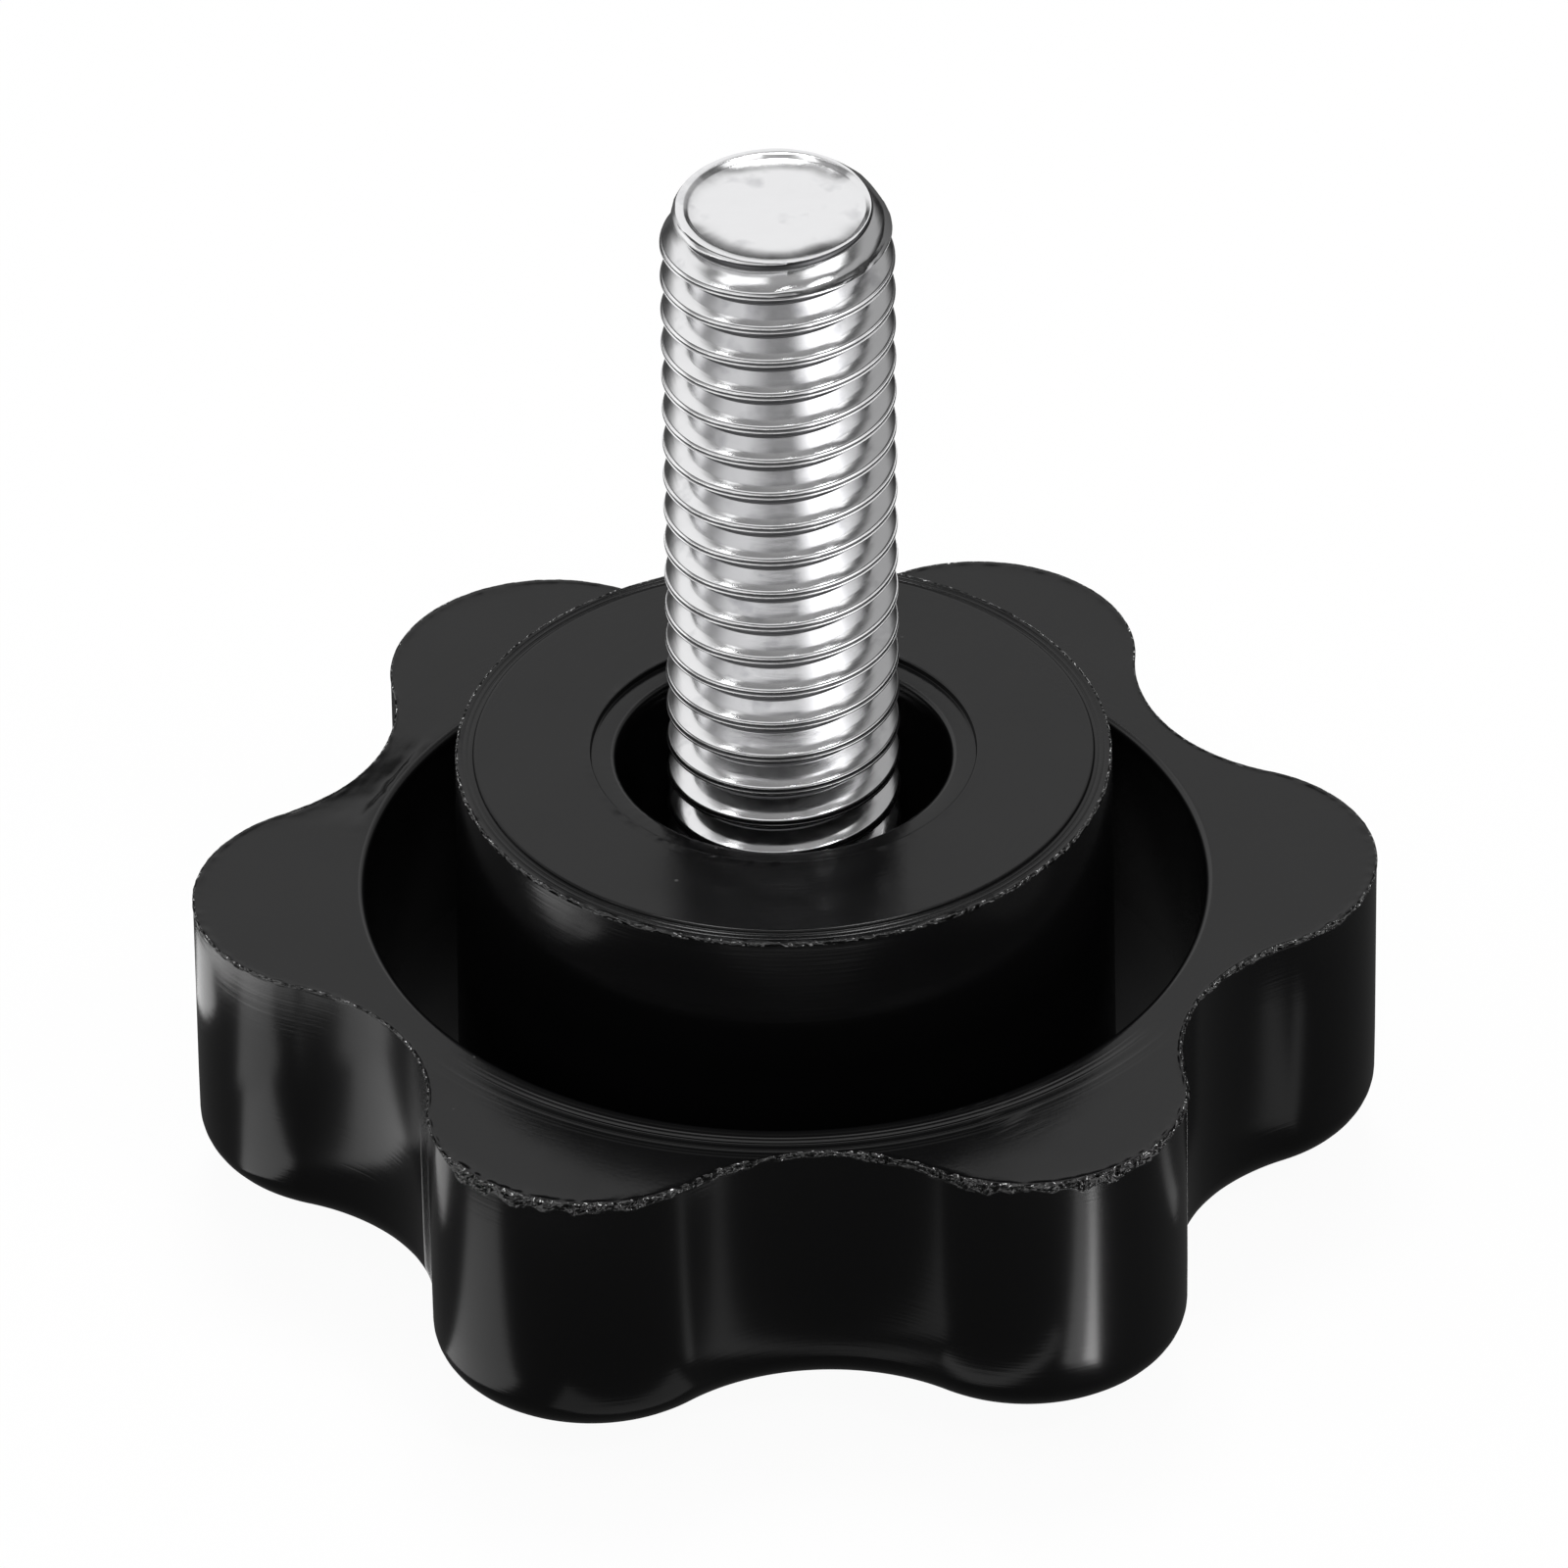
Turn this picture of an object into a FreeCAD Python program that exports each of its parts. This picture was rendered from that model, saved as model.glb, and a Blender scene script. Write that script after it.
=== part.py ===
import FreeCAD, Part
import math
import os

# A clamping knob with six round lobes, and a threaded steel stud moulded into its hub.
# Z runs up the stud. The origin is the middle of the dome's flat crown, on which the knob stands.
# The first lobe points along X. Lengths are in millimetres and angles in degrees.

# Star head
lobe_count = 6
head_radius = 23.8            # axis to the tip of a lobe, at the rim
valley_radius = 18.6          # axis to the bottom of a valley, at the rim
lobe_radius = 6.5             # rounding of a lobe, at the rim
star_height = 11.5            # flat face round the dome to the rim
mould_draft = 0.5             # lean of every wall that leaves the mould
edge_rounding = 1.5           # between the flat face and the side wall

# Dome on the palm side
dome_height = 2.0             # flat face to the crown
crown_radius = 2.5            # flat middle of the crown
dome_foot_radius = 14.0       # axis to the line where the dome's foot leaves the flat face
dome_foot_rounding = 2.0      # hollow rounding at the foot

# Ring-shaped pocket that cores the head out from the rim side
pocket_radius = 16.8          # outer wall, at the rim
pocket_depth = 8.5            # rim to the pocket's floor
pocket_mouth_bevel = 0.3      # broken edge at the rim

# Hub in the middle of the pocket
hub_radius = 13.1             # at its face
hub_rise = 6.4                # rim to the hub's face
hub_step_width = 0.7         # ring round the hub's face that lies lower
hub_step_drop = 0.12

# Well round the stud in the hub's face
well_radius = 6.7
well_depth = 8.0              # hub's face to the well's floor
well_ledge_width = 1.0        # shallow ledge round the mouth
well_ledge_depth = 0.25

# Stud
stud_radius = 4.7             # over the thread's crests
neck_radius = 4.3             # blank under the head, which the rolling dies leave plain
stud_reach = 26.2             # hub's face to the tip
tip_radius = 4.0              # end of the lead-in
tip_lead = 1.2                # length of the lead-in
tip_dish_radius = 3.65        # hollow that thread rolling leaves in the end
tip_dish_depth = 0.25
tip_dish_slope = 0.5          # width of the hollow's sloping edge

# Hexagonal head of the stud, held inside the hub
anchor_flats = 14.3           # across flats
anchor_thickness = 5.6
anchor_cover = 2.0            # plastic between the well's floor and the head
anchor_bevel = 0.6            # on the corners of the head's end face

# Levels along Z
flat_level = dome_height
rim_level = flat_level + star_height
floor_level = rim_level - pocket_depth
hub_level = rim_level + hub_rise
well_level = hub_level - well_depth
tip_level = hub_level + stud_reach
anchor_top_level = well_level - anchor_cover
anchor_end_level = anchor_top_level - anchor_thickness

draft_slope = math.tan(math.radians(mould_draft))
full_turn = 360.0
lobe_step = 2.0 * math.pi / lobe_count
up = FreeCAD.Vector(0, 0, 1)
origin = FreeCAD.Vector(0, 0, 0)
level_tolerance = 1e-4


# A point at an angle and a distance from the axis
def around(angle, distance, level):
    return FreeCAD.Vector(distance * math.cos(angle), distance * math.sin(angle), level)


# A point of a profile that is turned round the axis
def profile_point(radius, level):
    return FreeCAD.Vector(radius, 0, level)


# The radius of the valley arcs that run tangent into the lobe arcs
def valley_arc_radius():
    centre = head_radius - lobe_radius
    half_step = lobe_step / 2.0
    closing = 2.0 * centre * valley_radius * math.cos(half_step)
    top = lobe_radius ** 2 - centre ** 2 - valley_radius ** 2 + closing
    bottom = 2.0 * (valley_radius - centre * math.cos(half_step) - lobe_radius)
    return top / bottom


# The closed outline of the star at one level, drawn in by an inset from the rim's outline
def star_outline(inset, level):
    lobe_centre = head_radius - lobe_radius
    valley_centre = valley_radius + valley_arc_radius()
    edges = []
    for index in range(lobe_count):
        lobe_angle = index * lobe_step
        before = join_point(lobe_angle, -1, lobe_centre, valley_centre, inset, level)
        after = join_point(lobe_angle, 1, lobe_centre, valley_centre, inset, level)
        following = join_point(lobe_angle + lobe_step, -1, lobe_centre, valley_centre, inset, level)
        lobe_tip = around(lobe_angle, head_radius - inset, level)
        valley_bottom = around(lobe_angle + lobe_step / 2.0, valley_radius - inset, level)
        edges.append(Part.Arc(before, lobe_tip, after).toShape())
        edges.append(Part.Arc(after, valley_bottom, following).toShape())
    return Part.Wire(edges)


# The point where a lobe arc meets the valley arc on one side of it
def join_point(lobe_angle, side, lobe_centre, valley_centre, inset, level):
    lobe = around(lobe_angle, lobe_centre, level)
    valley = around(lobe_angle + side * lobe_step / 2.0, valley_centre, level)
    direction = valley.sub(lobe).normalize()
    return lobe.add(direction * (lobe_radius - inset))


# The solid made by turning a closed profile round the axis
def turned(edges):
    face = Part.Face(Part.Wire(edges))
    return face.revolve(origin, up, full_turn)


# The solid made by turning a profile of straight sides
def turned_polygon(points):
    face = Part.Face(Part.makePolygon(points + [points[0]]))
    return face.revolve(origin, up, full_turn)


# The edges of a solid that lie flat at one level
def edges_at(solid, level):
    found = []
    for edge in solid.Edges:
        box = edge.BoundBox
        if abs(box.ZMin - level) < level_tolerance and abs(box.ZMax - level) < level_tolerance:
            found.append(edge)
    return found


# The tapered star with its rounded palm side
def star_block():
    inset = star_height * draft_slope
    rim = star_outline(0.0, rim_level)
    palm = star_outline(inset, flat_level)
    block = Part.makeLoft([palm, rim], True, True)
    return block.makeFillet(edge_rounding, edges_at(block, flat_level))


# The dome: a flat crown and a round flank whose foot runs into the flat face through a hollow rounding
def dome():
    run = dome_foot_radius - crown_radius
    flank_radius = (run ** 2 + dome_height ** 2) / (2.0 * dome_height) - dome_foot_rounding
    flank_centre = profile_point(crown_radius, flank_radius)
    hollow_centre = profile_point(dome_foot_radius, dome_height - dome_foot_rounding)
    direction = hollow_centre.sub(flank_centre).normalize()
    crown_edge = profile_point(crown_radius, 0.0)
    touch = flank_centre.add(direction * flank_radius)
    foot = profile_point(dome_foot_radius, flat_level)
    flank_middle = on_circle(flank_centre, flank_radius, crown_edge, touch)
    hollow_middle = on_circle(hollow_centre, dome_foot_rounding, touch, foot)
    outer = profile_point(dome_foot_radius, floor_level)
    inner = profile_point(0.0, floor_level)
    return turned([
        Part.LineSegment(origin, crown_edge).toShape(),
        Part.Arc(crown_edge, flank_middle, touch).toShape(),
        Part.Arc(touch, hollow_middle, foot).toShape(),
        Part.LineSegment(foot, outer).toShape(),
        Part.LineSegment(outer, inner).toShape(),
        Part.LineSegment(inner, origin).toShape(),
    ])


# The point of a circle halfway between two of its points
def on_circle(centre, radius, start, end):
    middle = start.add(end) * 0.5
    return centre.add(middle.sub(centre).normalize() * radius)


# The core that leaves the pocket, taken as a whole disc because the hub is added afterwards
def pocket_core():
    floor_radius = pocket_radius - pocket_depth * draft_slope
    bevel_level = rim_level - pocket_mouth_bevel
    mouth_radius = pocket_radius + pocket_mouth_bevel
    return turned_polygon([
        profile_point(0.0, floor_level),
        profile_point(floor_radius, floor_level),
        profile_point(pocket_radius, bevel_level),
        profile_point(mouth_radius, rim_level),
        profile_point(0.0, rim_level),
    ])


# The hub: a tapered boss with a low step round its face
def hub():
    root_radius = hub_radius + (hub_level - floor_level) * draft_slope
    step_radius = hub_radius - hub_step_width
    step_level = hub_level - hub_step_drop
    return turned_polygon([
        profile_point(0.0, flat_level),
        profile_point(root_radius, flat_level),
        profile_point(root_radius, floor_level),
        profile_point(hub_radius, step_level),
        profile_point(step_radius, step_level),
        profile_point(step_radius, hub_level),
        profile_point(0.0, hub_level),
    ])


# The core that leaves the well and its ledge
def well_core():
    floor_radius = well_radius - well_depth * draft_slope
    ledge_radius = well_radius + well_ledge_width
    ledge_level = hub_level - well_ledge_depth
    return turned_polygon([
        profile_point(0.0, well_level),
        profile_point(floor_radius, well_level),
        profile_point(well_radius, ledge_level),
        profile_point(ledge_radius, ledge_level),
        profile_point(ledge_radius, hub_level),
        profile_point(0.0, hub_level),
    ])


# The stud's shank, from inside its head to the dished tip, with its thread from the well's floor up
def shank():
    lead_level = tip_level - tip_lead
    dish_level = tip_level - tip_dish_depth
    return turned_polygon([
        profile_point(0.0, anchor_end_level),
        profile_point(neck_radius, anchor_end_level),
        profile_point(neck_radius, well_level),
        profile_point(stud_radius, well_level),
        profile_point(stud_radius, lead_level),
        profile_point(tip_radius, tip_level),
        profile_point(tip_dish_radius, tip_level),
        profile_point(tip_dish_radius - tip_dish_slope, dish_level),
        profile_point(0.0, dish_level),
    ])


# The hexagonal head, with the corners of its end face turned off
def anchor_head():
    sides = 6
    side_step = 2.0 * math.pi / sides
    corner_radius = anchor_flats / 2.0 / math.cos(side_step / 2.0)
    corners = [around(index * side_step, corner_radius, anchor_end_level) for index in range(sides)]
    hexagon = Part.Face(Part.makePolygon(corners + [corners[0]]))
    prism = hexagon.extrude(up * anchor_thickness)
    envelope = turned_polygon([
        profile_point(0.0, anchor_end_level),
        profile_point(corner_radius - anchor_bevel, anchor_end_level),
        profile_point(corner_radius, anchor_end_level + anchor_bevel / 2.0),
        profile_point(corner_radius, anchor_top_level),
        profile_point(0.0, anchor_top_level),
    ])
    return prism.common(envelope)


# The steel stud with its head
def threaded_stud():
    return shank().fuse(anchor_head()).removeSplitter()


# The moulding, shaped round the stud that lies in the mould
def knob_body(stud):
    head = star_block().fuse(dome())
    cored = head.cut(pocket_core())
    with_hub = cored.fuse(hub()).removeSplitter()
    return with_hub.cut(well_core()).cut(stud)


# Writes one solid to its own file
def write(name, shape):
    solid = shape.Solids[0]
    if len(shape.Solids) != 1 or not solid.isValid():
        raise ValueError(name + " is not one valid solid")
    solid.exportStep(os.path.join("parts", name + ".step"))
    box = solid.BoundBox
    print(name, "volume", round(solid.Volume, 1), "z", round(box.ZMin, 3), "to", round(box.ZMax, 3))


os.makedirs("parts", exist_ok=True)
stud_solid = threaded_stud()
write("threaded_stud", stud_solid)
write("knob_body", knob_body(stud_solid))
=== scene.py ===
import bpy
import bmesh
import math
from mathutils import Euler, Matrix, Vector, noise


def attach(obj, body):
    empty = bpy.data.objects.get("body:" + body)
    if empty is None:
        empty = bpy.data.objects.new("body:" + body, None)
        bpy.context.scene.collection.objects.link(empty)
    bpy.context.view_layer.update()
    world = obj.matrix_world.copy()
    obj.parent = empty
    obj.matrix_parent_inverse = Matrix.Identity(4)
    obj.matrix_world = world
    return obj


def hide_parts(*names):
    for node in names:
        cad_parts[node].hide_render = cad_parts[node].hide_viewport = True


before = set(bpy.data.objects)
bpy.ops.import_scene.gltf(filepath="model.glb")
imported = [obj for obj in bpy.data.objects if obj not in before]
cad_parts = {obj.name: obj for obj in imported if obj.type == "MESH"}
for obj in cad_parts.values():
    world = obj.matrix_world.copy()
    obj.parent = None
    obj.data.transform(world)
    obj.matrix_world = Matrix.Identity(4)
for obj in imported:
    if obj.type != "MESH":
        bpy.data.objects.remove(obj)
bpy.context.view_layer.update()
print("frame loaded")

mm = 0.001


def ringEdges(verts):  # the edges that join verts to each other
    members = set(verts)
    touching = {e for v in verts for e in v.link_edges}
    return [e for e in touching if e.verts[0] in members and e.verts[1] in members]


def putRing(verts, place):  # moves each vertex to where place(angle) says
    for v in verts:
        v.co = place(math.atan2(v.co.y, v.co.x))


def dressFaces(made, slot):  # material and smooth shading for the faces that an operator made
    for face in (g for g in made["geom"] if isinstance(g, bmesh.types.BMFace)):
        face.material_index = slot
        face.smooth = True


def firstRing(bm, count, place):  # a loop of count vertices
    verts = bmesh.ops.create_circle(bm, cap_ends=False, segments=count, radius=1.0)["verts"]
    putRing(verts, place)
    return ringEdges(verts)


def nextRing(bm, edges, place, slot=0, sharp=False):  # extrudes a loop, and puts the copy in its place
    made = bmesh.ops.extrude_edge_only(bm, edges=edges)
    dressFaces(made, slot)
    verts = [g for g in made["geom"] if isinstance(g, bmesh.types.BMVert)]
    putRing(verts, place)
    fresh = ringEdges(verts)
    for e in fresh:
        e.smooth = not sharp
    return fresh


def roundRing(bm, edges, radius, level, slot=0, sharp=False):  # the same for a true circle
    return nextRing(bm, edges, lambda a: polar(a, radius, level), slot, sharp)


def closeRing(bm, edges, centre, slot=0):  # closes a loop with triangles that meet in its centre
    fresh = nextRing(bm, edges, lambda a: centre, slot)
    bmesh.ops.pointmerge(bm, verts=list({v for e in fresh for v in e.verts}), merge_co=centre)


def joinRings(bm, ringA, ringB, slot=0):  # fills the flat ring between two loops of different counts
    dressFaces(bmesh.ops.triangle_fill(bm, use_beauty=True, use_dissolve=False, edges=ringA + ringB), slot)


def polar(angle, radius, level):
    return Vector((radius * math.cos(angle), radius * math.sin(angle), level))


def between(pair, share):
    return pair[0] + (pair[1] - pair[0]) * share


def wobble(angle, level, scale, seed):  # smooth random number from -1 to 1 round a ring
    return noise.noise(Vector((math.cos(angle) * scale, math.sin(angle) * scale, level * 40.0 + seed * 17.3)))


def waves(angle, level, seed, parts):  # sum of wobbles, each part with its scale, amount and step of the seed
    return sum(amount * wobble(angle, level, scale, seed + step) for scale, amount, step in parts)


def ramp(value, start, end):  # 0 before start, 1 after end, smooth between
    t = min(max((value - start) / (end - start), 0.0), 1.0)
    return t * t * (3.0 - 2.0 * t)


def turnFrom(angle, middle):  # degrees from middle, given in degrees, to an angle in radians
    return (math.degrees(angle) - middle + 180.0) % 360.0 - 180.0


def finishMesh(bm, name, materials, node):
    bmesh.ops.recalc_face_normals(bm, faces=bm.faces)
    mesh = bpy.data.meshes.new(name)
    bm.to_mesh(mesh)
    bm.free()
    piece = bpy.data.objects.new(name, mesh)
    bpy.context.scene.collection.objects.link(piece)
    for m in materials:
        mesh.materials.append(m)
    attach(piece, "root")
    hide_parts(node)
    mesh.calc_loop_triangles()
    print(name, "triangles", len(mesh.loop_triangles))
    return piece


def newMaterial(name):
    material = bpy.data.materials.new(name)
    material.use_nodes = True
    return material, material.node_tree, material.node_tree.nodes["Principled BSDF"]


def feed(tree, socket, source):  # a source is a number, a colour or the output of another node
    if isinstance(source, bpy.types.NodeSocket):
        tree.links.new(source, socket)
    else:
        socket.default_value = source


def feedAll(tree, node, sources):
    for name, source in sources.items():
        feed(tree, node.inputs[name], source)


def addNode(tree, kind, **values):  # each value goes to the socket of its name, or to the node's own setting
    node = tree.nodes.new(kind)
    for key, value in values.items():
        if key in node.inputs:
            feed(tree, node.inputs[key], value)
        else:
            setattr(node, key, value)
    return node


def calculate(tree, operation, *sources):
    node = addNode(tree, "ShaderNodeMath", operation=operation)
    for socket, source in zip(node.inputs, sources):
        feed(tree, socket, source)
    return node.outputs[0]


def times(tree, first, second):  # one mask laid over another
    return calculate(tree, "MULTIPLY", first, second)


def span(tree, source, start, end, low=0.0, high=1.0):  # low before start, high after end, even between
    node = addNode(tree, "ShaderNodeMapRange", Value=source)
    for key, value in (("From Min", start), ("From Max", end), ("To Min", low), ("To Max", high)):
        node.inputs[key].default_value = value
    return node.outputs["Result"]


def blend(tree, share, first, second):  # first where share is 0, second where it is 1
    node = addNode(tree, "ShaderNodeMix", data_type="RGBA")
    for index, source in ((0, share), (6, first), (7, second)):
        feed(tree, node.inputs[index], source)
    return node.outputs[2]


def mixShaders(tree, share, first, second):
    node = addNode(tree, "ShaderNodeMixShader")
    for socket, source in zip(node.inputs, (share, first, second)):
        feed(tree, socket, source)
    return node.outputs[0]


def objectPlace(tree):
    return addNode(tree, "ShaderNodeTexCoord").outputs["Object"]


def stretched(tree, scale):  # object coordinates stretched by a mapping
    return addNode(tree, "ShaderNodeMapping", Vector=objectPlace(tree), Scale=scale).outputs["Vector"]


def noiseField(tree, place, scale, detail, distortion=0.0):
    node = addNode(tree, "ShaderNodeTexNoise", Vector=place, Scale=scale, Detail=detail, Distortion=distortion)
    return node.outputs["Fac"]


def bumped(tree, height, strength, distance, **onTop):  # onTop may hold the Normal that it builds on
    node = addNode(tree, "ShaderNodeBump", Strength=strength, Distance=distance, Height=height, **onTop)
    return node.outputs["Normal"]


def greyRamp(tree, source, stops):  # each stop has a position and a brightness
    node = addNode(tree, "ShaderNodeValToRGB", Fac=source)
    while len(node.color_ramp.elements) < len(stops):
        node.color_ramp.elements.new(0.5)
    for element, (position, value) in zip(node.color_ramp.elements, stops):
        element.position = position
        element.color = (value, value, value, 1)
    return node.outputs["Color"]


def seenStraight(tree):  # 1 for rays from the camera, also after they pass through glass
    path = addNode(tree, "ShaderNodeLightPath")
    return calculate(tree, "MAXIMUM", path.outputs["Is Camera Ray"], path.outputs["Is Transmission Ray"])


plasticLook = {
    "black": (0.0032, 0.0032, 0.0034, 1),
    "dust": (0.10, 0.10, 0.10, 1),
    "scuff": (0.055, 0.055, 0.055, 1),
    "torn": (0.004, 0.004, 0.004, 1),
    "faceRoughness": (0.13, 0.22),
    "faceSpecular": 0.24,
    "wallRoughness": 0.17,
    "wallSpecular": 0.42,
    "wallStretch": 0.7,
    "tornRoughness": (0.05, 0.12),
    "tornSpecular": 0.9,
    "noiseRange": (0.3, 0.7),           # the part of a noise texture that a roughness follows
    "dustSize": (0.03, 0.07),           # from the middle of a speck to its edge
    "dustShare": (0.66, 0.72),          # the higher, the fewer specks
    "scuffInner": (17.2 * mm, 17.5 * mm),
    "scuffOuter": (19.1 * mm, 18.0 * mm),
    "scuffFront": (-11.0 * mm, -14.5 * mm),
    "scuffShare": (0.49, 0.60),
    "scratchedAt": (7.7 * mm, -14.9 * mm, 13.5 * mm),
    "scratchReach": (3.6 * mm, 1.5 * mm),
    "scratchShare": (0.56, 0.70),
    "scratchTurn": math.radians(33.0),
    "scratchSize": (1.0 / 240.0, 1.0 / 5200.0, 1.0),
}


def satinPlastic():  # the flat faces and the dome
    look = plasticLook
    material, tree, shader = newMaterial("satinPlastic")
    place = objectPlace(tree)
    # specks of dust
    speck = addNode(tree, "ShaderNodeTexVoronoi", Vector=place, Scale=620.0, Randomness=1.0)
    dot = span(tree, speck.outputs["Distance"], *look["dustSize"], 1.0, 0.0)
    few = span(tree, noiseField(tree, place, 900.0, 0.0), *look["dustShare"])
    dusty = blend(tree, times(tree, dot, few), look["black"], look["dust"])
    # turning lines round the axis
    split = addNode(tree, "ShaderNodeSeparateXYZ", Vector=place)
    x, y = split.outputs["X"], split.outputs["Y"]
    level = addNode(tree, "ShaderNodeCombineXYZ", X=x, Y=y).outputs[0]
    radius = addNode(tree, "ShaderNodeVectorMath", operation="LENGTH", Vector=level).outputs["Value"]
    outward = span(tree, radius, 0.0, 20.0 * mm, 0.0, 120.0)
    around = span(tree, calculate(tree, "ARCTAN2", y, x), 0.0, 1.0, 0.0, 22.0)
    turned = addNode(tree, "ShaderNodeCombineXYZ", X=outward, Y=around).outputs[0]
    streak = noiseField(tree, turned, 1.0, 3.0, 0.9)
    # scuffs along these lines, near the pocket's mouth on the front
    band = times(tree, span(tree, radius, *look["scuffOuter"]), span(tree, radius, *look["scuffInner"]))
    front = span(tree, y, *look["scuffFront"])
    worn = times(tree, band, times(tree, front, span(tree, streak, *look["scuffShare"])))
    # slanting scratches on the front-right lobe
    slant = addNode(tree, "ShaderNodeMapping", vector_type="TEXTURE", Vector=place,
                    Rotation=(0, 0, look["scratchTurn"]), Scale=look["scratchSize"])
    scratch = span(tree, noiseField(tree, slant.outputs["Vector"], 1.0, 2.0), *look["scratchShare"])
    away = addNode(tree, "ShaderNodeVectorMath", operation="DISTANCE")
    feed(tree, away.inputs[0], place)
    feed(tree, away.inputs[1], look["scratchedAt"])
    scratched = times(tree, span(tree, away.outputs["Value"], *look["scratchReach"], 0.0, 0.8), scratch)
    marks = calculate(tree, "MAXIMUM", worn, scratched)
    # relief: turning lines, fine moulded grain and a slow waviness
    turning = bumped(tree, streak, 0.18, 0.02 * mm)
    fine = bumped(tree, noiseField(tree, place, 5200.0, 2.0), 0.05, 0.05 * mm, Normal=turning)
    slow = bumped(tree, noiseField(tree, place, 170.0, 1.0), 0.12, 0.2 * mm, Normal=fine)
    cloud = noiseField(tree, place, 260.0, 3.0)
    feedAll(tree, shader, {
        "Base Color": blend(tree, marks, dusty, look["scuff"]),
        "Specular IOR Level": look["faceSpecular"],
        "Roughness": span(tree, cloud, *look["noiseRange"], *look["faceRoughness"]),
        "Normal": slow,
    })
    return material


def polishedPlastic():  # the walls, polished round the mould, so that highlights run up and down
    look = plasticLook
    material, tree, shader = newMaterial("polishedPlastic")
    lines = noiseField(tree, stretched(tree, (160, 160, 9000)), 1.0, 3.0)
    feedAll(tree, shader, {
        "Base Color": look["black"],
        "Roughness": look["wallRoughness"],
        "Specular IOR Level": look["wallSpecular"],
        "Anisotropic": look["wallStretch"],
        "Tangent": addNode(tree, "ShaderNodeTangent", direction_type="RADIAL", axis="Z").outputs["Tangent"],
        "Normal": bumped(tree, lines, 0.12, 0.03 * mm),
    })
    return material


def tornPlastic():  # the flash and the burrs
    look = plasticLook
    material, tree, shader = newMaterial("tornPlastic")
    rough = noiseField(tree, objectPlace(tree), 1500.0, 1.0)
    # creases along the middle values of the noise, like folded film
    crease = calculate(tree, "ABSOLUTE", calculate(tree, "SUBTRACT", rough, 0.5))
    feedAll(tree, shader, {
        "Base Color": look["torn"],
        "Specular IOR Level": look["tornSpecular"],
        "Roughness": span(tree, rough, *look["noiseRange"], *look["tornRoughness"]),
        "Normal": bumped(tree, crease, 1.0, 0.9 * mm),
    })
    return material


steelLook = {
    "zinc": (0.86, 0.86, 0.87, 1),
    "dull": (0.55, 0.55, 0.57, 1),
    "roughness": (0.13, 0.20),
    "noiseRange": (0.3, 0.7),
    "dullShare": (0.58, 0.8),
    # painted shade: the dark colour that the thread's bottom and crest seam get in place of their shade
    "root": (0.13, 0.13, 0.135, 1),
    "rootRoughness": 0.3,
}


def platedSteel():  # the rolled and plated thread
    look = steelLook
    material, tree, shader = newMaterial("platedSteel")
    rough = noiseField(tree, stretched(tree, (1, 1, 2.5)), 1500.0, 4.0)
    stain = span(tree, noiseField(tree, objectPlace(tree), 700.0, 3.0), *look["dullShare"], 0.0, 0.8)
    lines = noiseField(tree, stretched(tree, (350, 350, 11000)), 1.0, 3.0)
    feedAll(tree, shader, {
        "Metallic": 1.0,
        "Base Color": blend(tree, stain, look["zinc"], look["dull"]),
        "Roughness": span(tree, rough, *look["noiseRange"], *look["roughness"]),
        "Normal": bumped(tree, lines, 0.14, 0.02 * mm),
    })
    return material


def rootShadeSteel():  # painted shade: a darker steel for the thread's bottom and the seam along its crest, standing in for the shade that falls in these grooves
    material, tree, shader = newMaterial("rootShadeSteel")
    feedAll(tree, shader, {
        "Metallic": 1.0,
        "Base Color": steelLook["root"],
        "Roughness": steelLook["rootRoughness"],
    })
    return material


satin, polished, torn = satinPlastic(), polishedPlastic(), tornPlastic()
# root is the painted-shade steel, darker in the thread's grooves
zinc, root = platedSteel(), rootShadeSteel()
faceSlot, wallSlot, tornSlot = 0, 1, 2
zincSlot, rootShadeSlot = 0, 1
print("materials made")

knobShape = {
    "lobes": 6,
    "headRadius": 23.8 * mm,
    "valleyRadius": 18.6 * mm,
    "lobeRadius": 6.5 * mm,
    "wallInset": 0.03 * mm,             # the walls stay this far inside the moulding's outline
    "flat": 2.0 * mm,
    "rim": 13.5 * mm,
    "wallTop": 12.25 * mm,              # the plain wall ends here, below the deepest flash
    "edgeRounding": 1.5 * mm,
    "draft": math.tan(math.radians(0.5)),
    "crownRadius": 2.5 * mm,
    "domeFoot": 14.0 * mm,
    "domeHollow": 2.0 * mm,
    "pocketRadius": 16.8 * mm,
    "pocketFloor": 5.0 * mm,
    "mouthBevel": 0.3 * mm,
    "hubRadius": 13.1 * mm,
    "hubFace": 19.9 * mm,
    "stepWidth": 0.7 * mm,
    "stepDrop": 0.12 * mm,
    "wellRadius": 6.7 * mm,
    "wellFloor": 11.9 * mm,
    "ledgeWidth": 1.0 * mm,
    "ledgeDepth": 0.25 * mm,
    "neckRadius": 4.3 * mm,
    "seatTop": 9.9 * mm,
    "seatEnd": 4.3 * mm,
    "seatFlats": 14.3 * mm,
    "seatBevel": 0.6 * mm,
    "margin": 0.3 * mm,                 # of the even faces beside a rounding
    # vertices round the star, the pocket and the dome, and rings over each rounding
    "starCount": 1440,
    "roundCount": 480,
    "domeCount": 180,
    "flankRings": 12,
    "hollowRings": 6,
    "edgeRings": 10,
    "wallRings": 5,
}

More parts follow.
